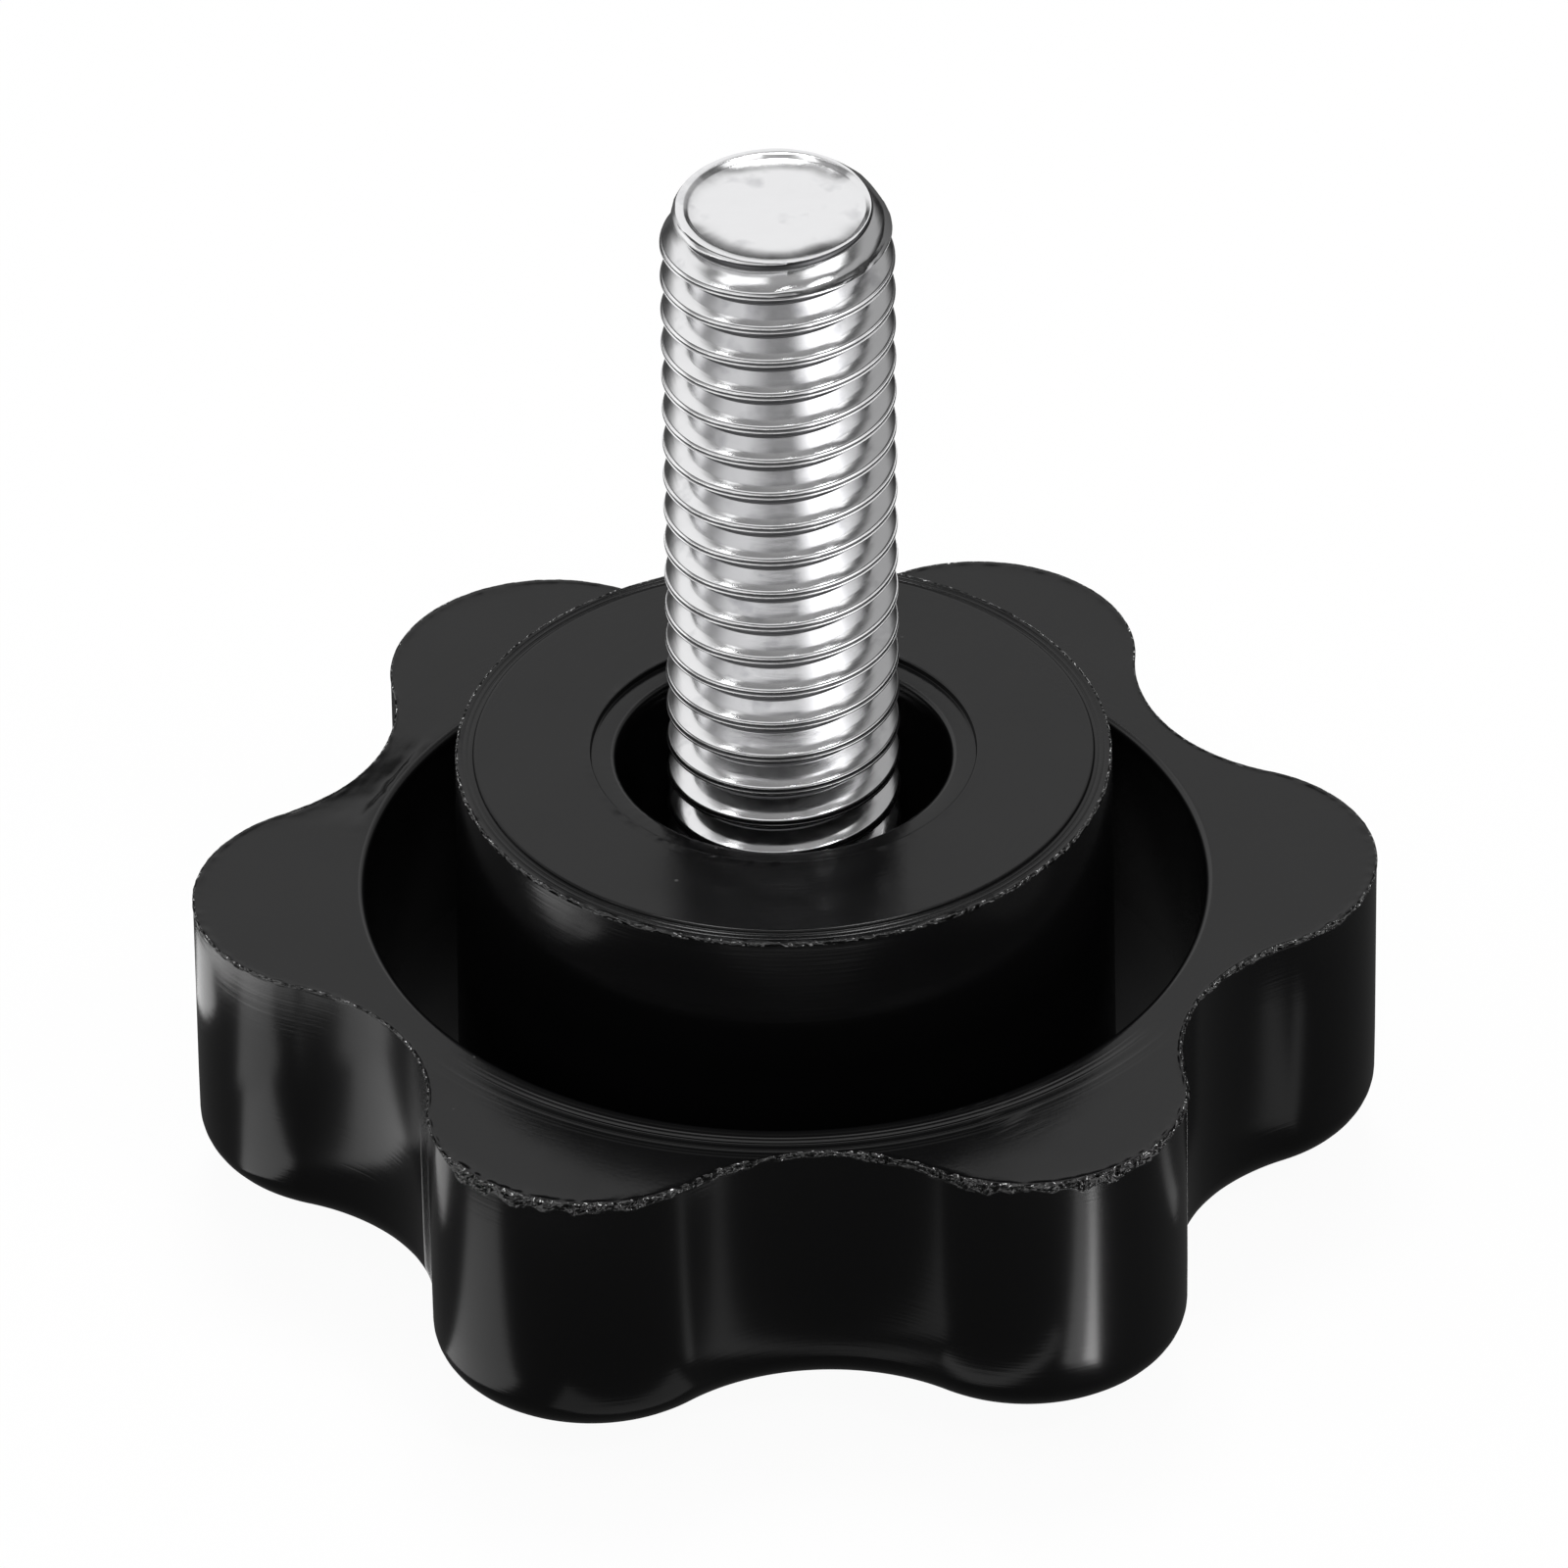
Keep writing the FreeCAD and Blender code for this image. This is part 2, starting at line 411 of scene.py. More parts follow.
flash = {
    # middle and half width in degrees, and amount, of each stretch where the fin is thick
    "stretches": ((-119.0, 9.0, 1.0), (-104.0, 9.0, 0.5), (-89.0, 13.0, 0.3), (-68.0, 13.0, 0.6),
                  (-50.0, 11.0, 0.45), (-22.0, 18.0, 0.25), (168.0, 30.0, 0.08)),
    "least": 0.03,
    "clumps": ((12.0, 0.55, 1), (38.0, 0.55, 2)),
    "clumpMiddle": 0.75,
    "clumpRange": (0.25, 1.25),
    "height": (0.05 * mm, 0.72 * mm),
    "stand": (0.012 * mm, 0.17 * mm),
    "room": 0.14 * mm,                  # by which the wall draws back under a full fin
    "holdGaps": (0.11 * mm, 0.04 * mm),  # two even rings below the fin keep the wall's shading even
    # share of the height below the edge, and how far each fold stands out
    "folds": ((1.12, 0.10), (0.98, 0.75), (0.84, 1.0), (0.70, 0.15), (0.56, 1.0), (0.42, 0.2), (0.28, 1.1),
              (0.14, 0.2), (0.03, 0.85), (-0.03, 0.35)),
    # scale, amount and seed of the waves in a fold's level, in its fine level and in its stand
    "levelWaves": ((62.0, 0.16, 0), (150.0, 0.096, 5)),
    "crumbWaves": ((90.0, 0.02 * mm, 7),),
    "standWaves": ((80.0, 0.75, 9), (170.0, 0.4, 11)),
    "deepest": -0.06 * mm,
    "highest": 0.13 * mm,
}

sink = {
    "middle": 153.5,                    # degrees, the valley where the rim sank and tore
    "half": (1.5, 11.0),
    "depth": 0.20 * mm,
    "across": (0.05, 0.30, 1.0),        # where it starts, is deepest and ends
    "lip": 0.07 * mm,
    "lipHalf": (7.0, 15.0),
    "outerLip": (0.80, 0.93),
    "innerLip": (0.03, 0.08, 0.10, 0.22),
}

burr = {
    "middle": -125.0,                   # degrees, where the hub's burr is thickest
    "half": (35.0, 110.0),
    "base": 0.1,
    "waves": ((26.0, 0.9, 0), (75.0, 0.8, 3)),
    "outShare": 0.25,
    "farShare": 0.25,
}


def arcDistance(centre, radius, angle, side):  # from the axis to a circle round centre, at an angle from it
    half = math.sqrt(max(radius ** 2 - (centre * math.sin(angle)) ** 2, 0.0))
    return centre * math.cos(angle) + side * half


def starRadius(angle, inset):  # distance from the axis to the star's outline, drawn in by an inset
    k = knobShape
    halfStep = math.pi / k["lobes"]
    cosine = math.cos(halfStep)
    lobeCentre = k["headRadius"] - k["lobeRadius"]
    closing = 2.0 * lobeCentre * k["valleyRadius"] * cosine
    top = k["lobeRadius"] ** 2 - lobeCentre ** 2 - k["valleyRadius"] ** 2 + closing
    valleyArc = top / (2.0 * (k["valleyRadius"] - lobeCentre * cosine - k["lobeRadius"]))
    valleyCentre = k["valleyRadius"] + valleyArc
    lobeArc = k["lobeRadius"] - inset
    toValley = Vector((valleyCentre * cosine - lobeCentre, valleyCentre * math.sin(halfStep))).normalized()
    join = math.atan2(lobeArc * toValley.y, lobeCentre + lobeArc * toValley.x)
    away = abs((angle + halfStep) % (2.0 * halfStep) - halfStep)
    if away <= join:
        return arcDistance(lobeCentre, lobeArc, away, 1.0)
    return arcDistance(valleyCentre, valleyArc + inset, halfStep - away, -1.0)


def flashSpread(angle):  # smooth amount of flash, without its clumps
    amount = flash["least"]
    for middle, half, most in flash["stretches"]:
        amount = max(amount, most * (1.0 - ramp(abs(turnFrom(angle, middle)), 0.4 * half, 1.5 * half)))
    return amount


def flashAmount(angle):
    clumps = flash["clumpMiddle"] + waves(angle, 0.0, 0, flash["clumps"])
    low, high = flash["clumpRange"]
    return flashSpread(angle) * min(max(clumps, low), high)


def wallInset(angle):
    return knobShape["wallInset"] + flash["room"] * flashSpread(angle) ** 0.5


def sinkAmount(angle, across):  # across runs from 0 at the pocket's mouth to 1 at the outer edge
    uneven = 2.0 * wobble(angle, across, 5.0, 3)
    along = 1.0 - ramp(abs(turnFrom(angle, sink["middle"]) + uneven), *sink["half"])
    start, deepest, end = sink["across"]
    hollow = ramp(across, start, deepest) * (1.0 - ramp(across, deepest, end))
    return along * hollow * (1.0 + 0.35 * wobble(angle, across, 22.0, 6))


def domeRings(bm):  # from the crown out to the flat face
    k = knobShape
    run = k["domeFoot"] - k["crownRadius"]
    flankRadius = (run ** 2 + k["flat"] ** 2) / (2.0 * k["flat"]) - k["domeHollow"]
    flankEnd = math.asin(run / (flankRadius + k["domeHollow"]))
    crown = firstRing(bm, k["domeCount"], lambda a: polar(a, k["crownRadius"], 0.0))
    edges = crown
    for i in range(1, k["flankRings"] + 1):
        tilt = flankEnd * i / k["flankRings"]
        radius = k["crownRadius"] + flankRadius * math.sin(tilt)
        edges = roundRing(bm, edges, radius, flankRadius * (1.0 - math.cos(tilt)), faceSlot)
    for i in range(1, k["hollowRings"] + 1):
        tilt = flankEnd * (1.0 - i / k["hollowRings"])
        radius = k["domeFoot"] - k["domeHollow"] * math.sin(tilt)
        edges = roundRing(bm, edges, radius, k["flat"] - k["domeHollow"] * (1.0 - math.cos(tilt)), faceSlot)
    edges = roundRing(bm, edges, k["domeFoot"] + k["margin"], k["flat"], faceSlot)
    closeRing(bm, crown, Vector((0.0, 0.0, 0.0)), faceSlot)
    return edges


def wallRings(bm, domeEdge):  # palm face, rounded edge and side wall of the star
    k = knobShape
    inside, rounding = k["wallInset"], k["edgeRounding"]
    lean = (k["rim"] - k["flat"]) * k["draft"]

    def starRing(inset, level):
        return lambda a: polar(a, starRadius(a, inside + inset), level)

    edges = firstRing(bm, k["starCount"], starRing(lean + rounding + 0.25 * mm, k["flat"]))
    joinRings(bm, domeEdge, edges, faceSlot)
    for i in range(k["edgeRings"] + 1):
        tilt = math.radians(90.0 * i / k["edgeRings"])
        inset = lean + rounding * (1.0 - math.sin(tilt))
        level = k["flat"] + rounding * (1.0 - math.cos(tilt))
        edges = nextRing(bm, edges, starRing(inset, level), faceSlot if 2 * i <= k["edgeRings"] else wallSlot)
    foot = k["flat"] + rounding
    for i in range(1, k["wallRings"] + 1):
        share = i / k["wallRings"]
        level = foot + (k["wallTop"] - foot) * share
        inset = (k["rim"] - level) * k["draft"]

        def place(a):
            return polar(a, starRadius(a, between((inside, wallInset(a)), share) + inset), level)

        edges = nextRing(bm, edges, place, wallSlot)
    return edges


def flashRings(bm, edges):  # a torn fin, folded over the outer edge of the rim
    k = knobShape

    def belowFin(gap):
        def place(a):
            below = flash["folds"][0][0] * between(flash["height"], flashAmount(a)) + gap
            return polar(a, starRadius(a, wallInset(a) + below * k["draft"]), k["rim"] - below)
        return place

    def finRing(share, stand, seed):
        def place(a):
            amount = flashAmount(a)
            height = between(flash["height"], amount)
            reach = between(flash["stand"], min(amount, 1.0))
            level = k["rim"] - height * (share + waves(a, share, seed, flash["levelWaves"]))
            level += waves(a, share, seed, flash["crumbWaves"]) * (0.3 + amount)
            out = max(reach * (stand + waves(a, share, seed, flash["standWaves"])), flash["deepest"])
            return polar(a, starRadius(a, max(wallInset(a) - out, 0.0)), min(level, k["rim"] + flash["highest"]))
        return place

    for gap in flash["holdGaps"]:
        edges = nextRing(bm, edges, belowFin(gap), wallSlot)
    for seed, (share, stand) in enumerate(flash["folds"]):
        edges = nextRing(bm, edges, finRing(share, stand, seed), wallSlot if seed == 0 else tornSlot)
    return edges


def rimRings(bm, edges):  # rim face, from the torn edge in to the pocket's mouth
    k = knobShape
    mouth = k["pocketRadius"] + k["mouthBevel"]

    def rimRing(across, lift):
        def place(a):
            edge = starRadius(a, wallInset(a) - flash["deepest"])
            crumbs = lift * (0.4 + flashAmount(a)) * (0.5 + 0.8 * wobble(a, across, 60.0, 11))
            near = 1.0 - ramp(abs(turnFrom(a, sink["middle"])), *sink["lipHalf"])
            start, full, fade, end = sink["innerLip"]
            inner = (1.0 - ramp(across, fade, end)) * ramp(across, start, full)
            lips = near * (ramp(across, *sink["outerLip"]) + inner) * (0.5 + 0.8 * wobble(a, across, 30.0, 4))
            level = k["rim"] + crumbs - sink["depth"] * sinkAmount(a, across) + sink["lip"] * lips
            return polar(a, between((mouth, edge), across), level)
        return place

    edges = nextRing(bm, edges, rimRing(1.0, 0.13 * mm), tornSlot)
    edges = nextRing(bm, edges, rimRing(0.975, 0.03 * mm), faceSlot)
    for across in (0.94, 0.88, 0.8, 0.7, 0.58, 0.45, 0.32, 0.2, 0.1, 0.03):
        edges = nextRing(bm, edges, rimRing(across, 0.0), faceSlot)
    return edges


def pocketRings(bm, rimInner):  # mouth, wall and floor of the pocket, and the hub's wall
    k = knobShape
    slope, bevel, floor = k["draft"], k["mouthBevel"], k["pocketFloor"]
    mouth = k["pocketRadius"] + bevel
    edges = firstRing(bm, k["roundCount"], lambda a: polar(a, mouth, k["rim"]))
    joinRings(bm, rimInner, edges, faceSlot)
    for turn in (22.5, 45.0, 67.5, 90.0):
        t = math.radians(turn)
        level = k["rim"] - bevel * (1.0 - math.cos(t))
        edges = roundRing(bm, edges, mouth - bevel * math.sin(t), level, wallSlot)
    for share in (0.06, 0.35, 0.7, 0.97):
        level = between((k["rim"] - bevel, floor), share)
        edges = roundRing(bm, edges, k["pocketRadius"] - (k["rim"] - level) * slope, level, wallSlot)
    outer = k["pocketRadius"] - (k["rim"] - floor) * slope
    inner = k["hubRadius"] + (k["hubFace"] - floor) * slope
    edges = roundRing(bm, edges, outer, floor, wallSlot, sharp=True)
    for share in (0.05, 0.5, 0.95):
        edges = roundRing(bm, edges, between((outer, inner), share), floor, wallSlot)
    edges = roundRing(bm, edges, inner, floor, wallSlot, sharp=True)
    for share in (0.03, 0.3, 0.6, 0.9, 0.975):
        level = between((floor, k["hubFace"] - k["stepDrop"]), share)
        edges = roundRing(bm, edges, k["hubRadius"] + (k["hubFace"] - level) * slope, level, wallSlot)
    return edges


def burrRing(radius, level, lift, seed):
    def place(a):
        near = 1.0 - ramp(abs(turnFrom(a, burr["middle"])), *burr["half"])
        rough = lift * max(burr["base"] + waves(a, level / mm, seed, burr["waves"]), 0.0)
        return polar(a, radius + burr["outShare"] * rough, level + (burr["farShare"] + near) * rough)
    return place


def profileRings(bm, edges, radius, level, seed, rows):  # rows hold mm out, mm up, burr in mm and slot
    for out, rise, lift, slot in rows:
        edges = nextRing(bm, edges, burrRing(radius + out * mm, level + rise * mm, lift * mm, seed), slot)
    return edges


def hubRings(bm, edges):  # the hub's edge with its burr, the step, the face, the ledge and the well
    k = knobShape
    stepRadius, stepLevel = k["hubRadius"] - k["stepWidth"], k["hubFace"] - k["stepDrop"]
    edges = profileRings(bm, edges, k["hubRadius"], stepLevel, 21, (
        (0.0, -0.14, 0.0, wallSlot), (0.0, -0.09, 0.02, tornSlot), (-0.01, -0.03, 0.05, tornSlot),
        (-0.05, 0.0, 0.08, tornSlot), (-0.10, -0.005, 0.05, tornSlot), (-0.14, -0.012, 0.0, faceSlot),
        # two fine grooves in the step
        (-0.26, 0.0, 0.0, faceSlot), (-0.29, -0.022, 0.0, faceSlot), (-0.32, 0.0, 0.0, faceSlot),
        (-0.47, 0.0, 0.0, faceSlot), (-0.50, -0.022, 0.0, faceSlot), (-0.53, 0.0, 0.0, faceSlot)))
    edges = profileRings(bm, edges, stepRadius, stepLevel, 21, (
        (0.05, 0.0, 0.0, faceSlot), (0.01, 0.0, 0.0, faceSlot), (0.0, 0.02, 0.0, faceSlot),
        (-0.02, 0.10, 0.0, faceSlot), (-0.05, 0.12, 0.0, faceSlot), (-0.15, 0.12, 0.0, faceSlot)))
    ledgeRadius, ledgeLevel = k["wellRadius"] + k["ledgeWidth"], k["hubFace"] - k["ledgeDepth"]
    for share in (0.3, 0.6, 0.9):
        edges = roundRing(bm, edges, between((stepRadius, ledgeRadius), share), k["hubFace"], faceSlot)
    edges = profileRings(bm, edges, ledgeRadius, ledgeLevel, 24, (
        (0.09, 0.25, 0.0, faceSlot), (0.04, 0.25, 0.03, faceSlot), (0.0, 0.23, 0.0, wallSlot),
        (-0.002, 0.20, 0.0, wallSlot), (-0.008, 0.04, 0.0, wallSlot), (-0.012, 0.01, 0.0, wallSlot),
        (-0.04, 0.0, 0.0, faceSlot), (-0.08, 0.0, 0.0, faceSlot)))
    edges = profileRings(bm, edges, k["wellRadius"], ledgeLevel, 24, (
        (0.2, 0.0, 0.0, faceSlot), (0.08, -0.02, 0.02, wallSlot), (0.0, -0.1, 0.0, wallSlot)))
    wellFoot = k["wellRadius"] - (ledgeLevel - k["wellFloor"]) * k["draft"]
    for share in (0.1, 0.5, 0.96):
        radius = between((k["wellRadius"], wellFoot), share)
        edges = roundRing(bm, edges, radius, between((ledgeLevel, k["wellFloor"]), share), wallSlot)
    edges = roundRing(bm, edges, wellFoot, k["wellFloor"], wallSlot, sharp=True)
    return roundRing(bm, edges, k["neckRadius"], k["wellFloor"], wallSlot, sharp=True)


def hexRadius(angle, flats):  # distance from the axis to a hexagon's side, with a corner on X
    step = math.pi / 3.0
    return flats / 2.0 / math.cos((angle % step) - step / 2.0)


def seatRings(bm, edges, slot):  # neck and hexagonal head, the same for the hole and for what fills it
    k = knobShape
    flats = k["seatFlats"]
    turned = flats / 2.0 / math.cos(math.pi / 6.0) - k["seatBevel"]   # radius of the end face
    edges = roundRing(bm, edges, k["neckRadius"], k["seatTop"], slot, sharp=True)
    for place in (
            lambda a: polar(a, hexRadius(a, flats), k["seatTop"]),
            lambda a: polar(a, hexRadius(a, flats), k["seatEnd"] + max(hexRadius(a, flats) - turned, 0.0) / 2.0),
            lambda a: polar(a, min(hexRadius(a, flats), turned), k["seatEnd"])):
        edges = nextRing(bm, edges, place, slot, sharp=True)
    closeRing(bm, edges, Vector((0.0, 0.0, k["seatEnd"])), slot)


def buildKnobBody():
    bm = bmesh.new()
    edges = wallRings(bm, domeRings(bm))
    edges = rimRings(bm, flashRings(bm, edges))
    edges = hubRings(bm, pocketRings(bm, edges))
    seatRings(bm, edges, wallSlot)
    return finishMesh(bm, "knobBody", (satin, polished, torn), "knob_body")


knobBody = buildKnobBody()

studShape = {
    "pitch": 1.5875 * mm,
    "crestRadius": 4.64 * mm,
    "rootRadius": 3.72 * mm,
    "flankTilt": math.radians(30.0),
    "crestFlat": 0.30 * mm,
    "seamHalf": 0.03 * mm,              # half the width of the fold that rolling leaves along the crest
    "grooveLevel": 12.77 * mm,          # where the lowest groove crosses the X axis
    "spareTurns": 3.0,                  # below that groove, before the ends are cut
    "steps": 108,                       # round one turn
    "bottom": 12.4 * mm,
    "tip": 46.1 * mm,
    "tipRadius": 4.0 * mm,
    "lead": 1.2 * mm,
    "leadUneven": 0.02 * mm,
    "lipRadius": 3.65 * mm,
    "dishDepth": 0.15 * mm,
    "dishSlope": 0.2 * mm,
    "dishUneven": 0.05 * mm,
}


def threadProfile():  # radius and height over one pitch, from the middle of one root to the next
    s = studShape
    root, crest, pitch = s["rootRadius"], s["crestRadius"], s["pitch"]
    middle, seam = pitch / 2.0, s["seamHalf"]
    flank = (crest - root) * math.tan(s["flankTilt"])
    rootHalf = (pitch - s["crestFlat"]) / 2.0 - flank
    edge = rootHalf + flank
    lower = [(root, 0.0), (root + 0.002 * mm, 0.5 * rootHalf), (root + 0.02 * mm, 0.95 * rootHalf)]
    lower += [(root + (crest - root) * share, rootHalf + flank * share) for share in (0.06, 0.10, 0.5, 0.90)]
    upper = [(radius, pitch - height) for radius, height in reversed(lower)]
    # the crest: a flat, the seam that rolling leaves, and a worn facet that leans back
    flat = [(crest - 0.018 * mm, edge - 0.004 * mm), (crest - 0.003 * mm, edge + 0.008 * mm),
            (crest, edge + 0.024 * mm), (crest, middle - seam)]
    worn = [(crest - 0.04 * mm, middle), (crest - 0.012 * mm, middle + seam),
            (crest - 0.058 * mm, middle + 0.162 * mm)]
    return lower + flat + worn + upper


def threadTurns(bm, start):  # the profile swept through one turn, then copied up the stud
    s = studShape
    verts = [bm.verts.new((radius, 0.0, start + height)) for radius, height in threadProfile()]
    edges = [bm.edges.new(pair) for pair in zip(verts[:-1], verts[1:])]
    bmesh.ops.spin(bm, geom=verts + edges, cent=(0, 0, 0), axis=(0, 0, 1), dvec=(0, 0, s["pitch"] / s["steps"]),
                   angle=2.0 * math.pi, steps=s["steps"], use_merge=False)
    oneTurn = bm.verts[:] + bm.edges[:] + bm.faces[:]
    for turn in range(1, math.ceil((s["tip"] - start) / s["pitch"]) + 1):
        copy = bmesh.ops.duplicate(bm, geom=oneTurn)
        raised = [g for g in copy["geom"] if isinstance(g, bmesh.types.BMVert)]
        bmesh.ops.translate(bm, verts=raised, vec=(0, 0, turn * s["pitch"]))
    bmesh.ops.remove_doubles(bm, verts=bm.verts, dist=0.002 * mm)


def cutEnds(bm):  # the lead-in cone cuts the last crests down, and two planes cut the ends
    s = studShape
    for v in bm.verts:
        radius = math.hypot(v.co.x, v.co.y)
        cone = s["tipRadius"] + (s["tip"] - v.co.z) * (s["crestRadius"] - s["tipRadius"]) / s["lead"]
        cone += s["leadUneven"] * wobble(math.atan2(v.co.y, v.co.x), v.co.z / mm, 6.0, 31)
        if radius > cone and v.co.z < s["tip"] + s["pitch"]:
            shrink = max(cone, 1.0 * mm) / radius
            v.co.x *= shrink
            v.co.y *= shrink
    for level, normal in ((s["tip"], (0, 0, 1)), (s["bottom"], (0, 0, -1))):
        bmesh.ops.bisect_plane(bm, geom=bm.verts[:] + bm.edges[:] + bm.faces[:], dist=1e-8,
                               plane_co=(0, 0, level), plane_no=normal, clear_outer=True)


def dressThread(bm, start):
    s = studShape
    for face in bm.faces:
        middle = face.calc_center_median()
        radius = math.hypot(middle.x, middle.y)
        along = (middle.z - start - s["pitch"] * math.atan2(middle.y, middle.x) / (2.0 * math.pi)) % s["pitch"]
        inSeam = radius > s["crestRadius"] - 0.1 * mm and abs(along - s["pitch"] / 2.0) < s["seamHalf"]
        face.smooth = True
        # painted shade: faces in the thread's bottom and in the crest seam get the darker steel
        face.material_index = rootShadeSlot if inSeam or radius < s["rootRadius"] + 0.05 * mm else zincSlot


def tipRings(bm, edges):  # end face: a lip round the hollow that rolling leaves
    s = studShape
    lip, slope, depth = s["lipRadius"], s["dishSlope"], s["dishDepth"]
    for e in edges:
        e.smooth = False
    for radius, drop in ((lip + 0.06 * mm, 0.0), (lip, 0.02 * mm), (lip - 0.6 * slope, 0.72 * depth),
                         (lip - slope, depth), (2.4 * mm, 1.06 * depth), (1.5 * mm, depth), (0.7 * mm, 0.95 * depth)):
        def place(a):
            uneven = waves(a, 0.0, 41, ((3.0, 0.03 * mm, 0), (14.0, 0.012 * mm, 2))) if radius > 3.0 * mm else 0.0
            spot = polar(a, radius + uneven, s["tip"] - drop)
            if drop > 0.1 * mm:
                spot.z += s["dishUneven"] * noise.noise(spot * 700.0)
            return spot
        edges = nextRing(bm, edges, place, zincSlot)
    closeRing(bm, edges, Vector((0.0, 0.0, s["tip"] - 0.93 * depth)), zincSlot)


def buildStud():
    s = studShape
    bm = bmesh.new()
    start = s["grooveLevel"] - s["spareTurns"] * s["pitch"]
    threadTurns(bm, start)
    cutEnds(bm)
    dressThread(bm, start)
    ends = [e for e in bm.edges if e.is_boundary]
    halfWay = (s["tip"] + s["bottom"]) / 2.0
    tipRings(bm, [e for e in ends if e.verts[0].co.z > halfWay])
    # plain neck and head inside the hub
    bottom = [e for e in ends if e.is_valid and e.verts[0].co.z < halfWay]
    edges = roundRing(bm, bottom, knobShape["neckRadius"], knobShape["wellFloor"], zincSlot, sharp=True)
    seatRings(bm, edges, zincSlot)
    # the second material, root, paints shade into the thread's bottom and crest seam
    return finishMesh(bm, "studThread", (zinc, root), "threaded_stud")


studThread = buildStud()

viewpoint = {
    "turn": -3.03,                      # degrees from the front towards the right
    "elevation": 35.66,
    "roll": -0.72,
    "distance": 0.996,
    "target": (0.0, 0.0, 0.01815),
    "width": 0.0626,                    # what the frame spans at the target
}

studio = {
    "target": (0.0, 0.0, 0.018),
    "floorSize": 3.0,
    "floorColour": (0.95, 0.95, 0.95, 1),
    "floorGlow": 0.95,
    # reflections see the floor dark near the knob, then a bright ring, and beyond it by the angle to the right
    "nearGlow": 0.07,
    "ringFrom": (0.0425, 0.046),
    "ringGlow": 1.15,
    "farFrom": (0.062, 0.067),
    "farGlow": ((-180, 0.08), (-150, 0.1), (-118, 1.1), (-104, 1.1), (-94, 0.35), (-84, 0.35), (-66, 0.75),
                (-42, 0.8), (-14, 0.26), (10, 0.24), (34, 2.0), (52, 2.3), (72, 0.95), (92, 0.65), (112, 0.18),
                (150, 0.1), (180, 0.08)),
    # name, azimuth from the camera's side towards the right, elevation, width, height, radiance
    "lampDistance": 0.60,
    "lamps": (
        ("keyAbove", 180.0, 70.6, 0.19, 0.19, 14.0),
        ("rightAbove", 93.5, 70.7, 0.17, 0.25, 1.3),
        ("leftAbove", -94.6, 68.2, 0.15, 0.25, 1.2),
        ("sparkFront", 4.0, 58.0, 0.03, 0.03, 16.0),
        ("sparkRight", 45.0, 50.0, 0.11, 0.10, 14.0),
        ("sparkLeft", -76.0, 50.0, 0.05, 0.05, 12.0),
    ),
    "cardLift": 0.4,                    # mm above the floor
    # name, middle in mm to the right and towards the camera, width, height and radiance of a standing card
    "edges": (
        ("leftEdge", (-14.4, 12.0), 0.45, 11.0, 0.8),
        ("rightEdge", (16.0, 11.2), 0.5, 11.0, 1.0),
    ),
    # name, start and end on the floor in mm, to the right and towards the camera, width in mm, radiance
    "cards": (
        ("rightCard", (15.4, 23.8), (25.2, 32.4), 1.5, 7.5),
        ("rightSoftCard", (13.8, 24.8), (24.0, 36.0), 2.2, 1.6),
        ("valleyCard", (1.5, 22.0), (13.5, 28.0), 1.0, 0.6),
        ("faintCard", (0.0, 22.3), (-11.0, 25.5), 2.5, 0.3),
        ("frontCard", (-15.5, 19.4), (-28.5, 22.0), 8.5, 0.8),
        ("leftCard", (-24.0, 7.4), (-31.0, 8.2), 5.8, 1.15),
        ("leftMidCard", (-31.0, 8.6), (-37.3, 9.4), 9.0, 1.0),
        ("leftFarCard", (-28.5, -12.0), (-36.0, -5.0), 5.0, 1.4),
        ("leftRimA", (-38.6, -6.0), (-40.0, 5.0), 3.6, 2.2),
        ("leftRimB", (-40.0, 5.0), (-36.4, 15.2), 3.6, 2.8),
        ("leftRimC", (-36.4, 15.2), (-31.5, 20.0), 3.6, 1.2),
        ("farRightCard", (24.0, 8.2), (33.0, 11.5), 2.2, 0.45),
    ),
    # height of the direction, and brightness
    "sky": ((0.0, 0.05), (0.18, 0.06), (0.30, 0.30), (0.42, 0.95), (0.68, 0.95), (0.77, 0.22), (0.9, 0.24),
            (1.0, 0.34)),
    "skyRight": (0.25, 0.55, 0.4),      # where the sky darkens towards the right, and to what share
}


def glow(tree, strength, colour=(1, 1, 1, 1)):
    return addNode(tree, "ShaderNodeEmission", Color=colour, Strength=strength).outputs["Emission"]


def buildStage():
    bm = bmesh.new()
    bmesh.ops.create_grid(bm, x_segments=1, y_segments=1, size=studio["floorSize"])
    mesh = bpy.data.meshes.new("floor")
    bm.to_mesh(mesh)
    bm.free()
    floor = bpy.data.objects.new("floor", mesh)
    bpy.context.scene.collection.objects.link(floor)
    material, tree, shader = newMaterial("paleFloor")
    feedAll(tree, shader, {"Base Color": studio["floorColour"], "Roughness": 1.0, "Specular IOR Level": 0.0})
    # for the camera the floor is nearly white by itself, and keeps part of the shadow
    seen = mixShaders(tree, studio["floorGlow"], shader.outputs["BSDF"], glow(tree, 1.0))
    place = objectPlace(tree)
    radius = addNode(tree, "ShaderNodeVectorMath", operation="LENGTH", Vector=place).outputs["Value"]
    split = addNode(tree, "ShaderNodeSeparateXYZ", Vector=place)
    turn = calculate(tree, "ARCTAN2", split.outputs["X"], times(tree, split.outputs["Y"], -1.0))
    brightest = max(value for angle, value in studio["farGlow"])
    stops = [((angle + 180.0) / 360.0, value / brightest) for angle, value in studio["farGlow"]]
    far = glow(tree, brightest, greyRamp(tree, span(tree, turn, -math.pi, math.pi), stops))
    near, ring = glow(tree, studio["nearGlow"]), glow(tree, studio["ringGlow"])
    closer = mixShaders(tree, span(tree, radius, *studio["ringFrom"]), near, ring)
    reflected = mixShaders(tree, span(tree, radius, *studio["farFrom"]), closer, far)
    surface = mixShaders(tree, seenStraight(tree), reflected, seen)
    tree.links.new(surface, tree.nodes["Material Output"].inputs["Surface"])
    mesh.materials.append(material)


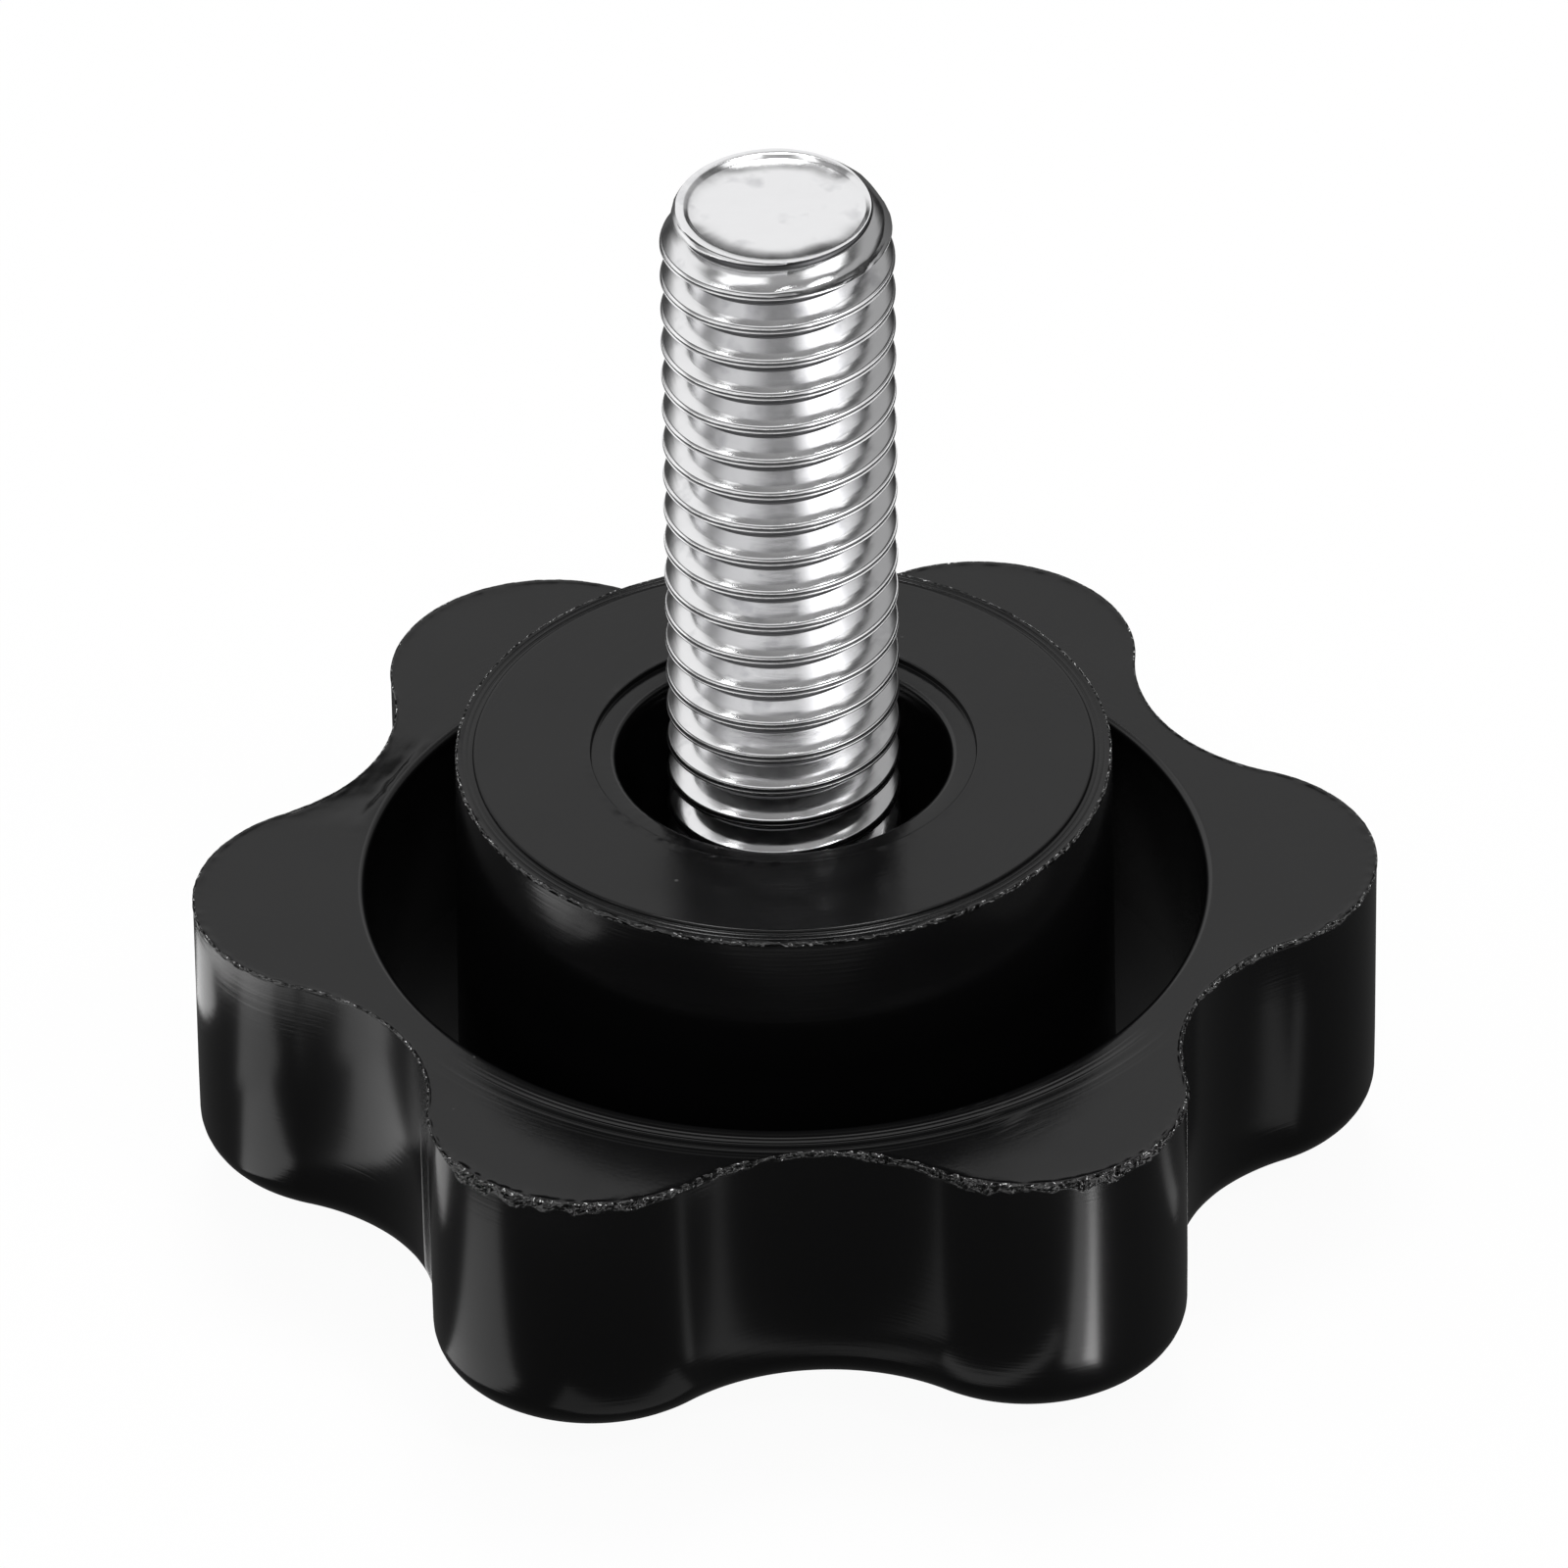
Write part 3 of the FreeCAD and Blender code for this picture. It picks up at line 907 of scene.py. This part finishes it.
def towards(azimuth, elevation):  # direction from the knob, with the azimuth turned from the front to the right
    a, e = math.radians(azimuth), math.radians(elevation)
    return Vector((math.sin(a) * math.cos(e), -math.cos(a) * math.cos(e), math.sin(e)))


def addPanel(name, width, height, radiance, location, rotation):  # an even lamp that the camera doesn't see
    lamp = bpy.data.lights.new(name, "AREA")
    lamp.shape = "RECTANGLE"
    lamp.size, lamp.size_y = width, height
    lamp.energy = radiance * width * height * math.pi
    item = bpy.data.objects.new(name, lamp)
    item.location = location
    item.rotation_mode = "QUATERNION"
    item.rotation_quaternion = rotation
    item.visible_camera = False
    bpy.context.scene.collection.objects.link(item)


def buildLamps():
    for name, azimuth, elevation, width, height, radiance in studio["lamps"]:
        back = towards(azimuth + viewpoint["turn"], elevation)
        location = Vector(studio["target"]) + back * studio["lampDistance"]
        addPanel(name, width, height, radiance, location, back.to_track_quat("Z", "Y"))


def buildCards():  # strips of light on the floor, which the walls mirror, and cards that stand behind the knob
    angle = math.radians(viewpoint["turn"])
    turn = Matrix.Rotation(angle, 3, "Z")
    lift = studio["cardLift"]
    for name, start, end, width, radiance in studio["cards"]:
        near, far = (turn @ Vector((right, -front, lift)) * mm for right, front in (start, end))
        rotation = Euler((math.pi, 0.0, math.atan2(far.y - near.y, far.x - near.x))).to_quaternion()
        addPanel(name, (far - near).length, width * mm, radiance, (near + far) / 2.0, rotation)
    for name, (right, front), width, height, radiance in studio["edges"]:
        location = turn @ Vector((right, -front, lift + height / 2.0)) * mm
        rotation = Euler((math.radians(-90.0), 0.0, angle)).to_quaternion()
        addPanel(name, width * mm, height * mm, radiance, location, rotation)


def buildSky():
    world = bpy.data.worlds.new("studioSky")
    bpy.context.scene.world = world
    world.use_nodes = True
    tree = world.node_tree
    room = tree.nodes["Background"]
    split = addNode(tree, "ShaderNodeSeparateXYZ", Vector=addNode(tree, "ShaderNodeTexCoord").outputs["Generated"])
    start, end, share = studio["skyRight"]
    feedAll(tree, room, {
        "Color": greyRamp(tree, split.outputs["Z"], studio["sky"]),
        "Strength": span(tree, split.outputs["X"], start, end, 1.0, share),
    })
    white = addNode(tree, "ShaderNodeBackground", Color=(1, 1, 1, 1), Strength=1.0)
    surface = mixShaders(tree, seenStraight(tree), room.outputs[0], white.outputs[0])
    tree.links.new(surface, tree.nodes["World Output"].inputs["Surface"])


def buildCamera():
    v = viewpoint
    camera = bpy.data.cameras.new("camera")
    camera.sensor_width = 36.0
    camera.lens = camera.sensor_width * v["distance"] / v["width"]
    camera.clip_start, camera.clip_end = 0.05, 20.0
    a, r = math.radians(v["turn"]), math.radians(v["roll"])
    back = towards(v["turn"], v["elevation"])
    level = Vector((math.cos(a), math.sin(a), 0.0))
    upright = back.cross(level)
    right = level * math.cos(r) + upright * math.sin(r)
    up = upright * math.cos(r) - level * math.sin(r)
    axes = Matrix((right, up, back)).transposed().to_4x4()
    item = bpy.data.objects.new("camera", camera)
    item.matrix_world = Matrix.Translation(Vector(v["target"]) + back * v["distance"]) @ axes
    bpy.context.scene.collection.objects.link(item)
    bpy.context.scene.camera = item


buildStage()
buildLamps()
buildCards()
buildSky()
buildCamera()
bpy.context.scene.view_settings.view_transform = "Standard"
print("studio ready")

bpy.context.view_layer.update()
